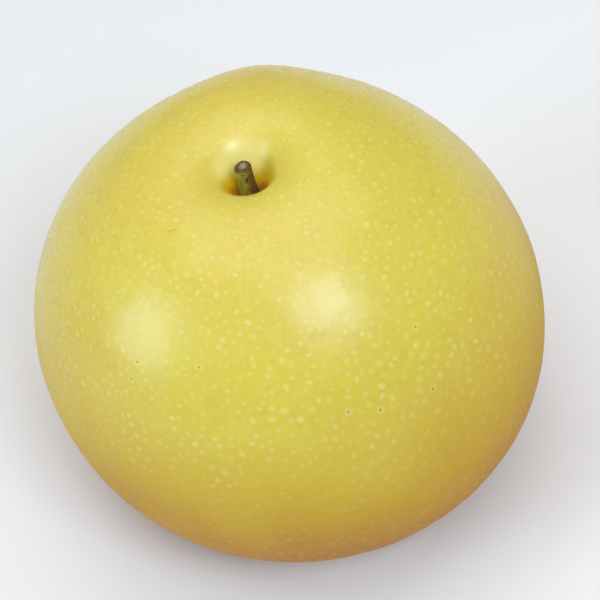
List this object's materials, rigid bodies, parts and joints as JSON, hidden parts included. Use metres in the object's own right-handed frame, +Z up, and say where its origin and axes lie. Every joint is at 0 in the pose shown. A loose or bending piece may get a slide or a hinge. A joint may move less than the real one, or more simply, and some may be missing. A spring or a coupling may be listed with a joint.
{
  "type": "nashi pear",
  "caption": "Whole round nashi pear that stands on its calyx end, with a short cut woody stem in its stem basin.",
  "frame": {"origin": "middle of the fruit's footprint, on the surface that it stands on", "axes": "+Z up along the fruit's own axis, from the calyx end to the stem; -Y is the front; +X is to the right seen from the front"},
  "size_m": [0.0948, 0.0936, 0.081],
  "materials": {
    "skin": "smooth waxy pear skin, golden yellow to yellow green, dotted with paler lenticels",
    "stem_wood": "rough brown bark with a green side and a dry grey-brown cut tip"
  },
  "bodies": {
    "root": {"fruit": "skin", "stem": "stem_wood"}
  },
  "joints": []
}
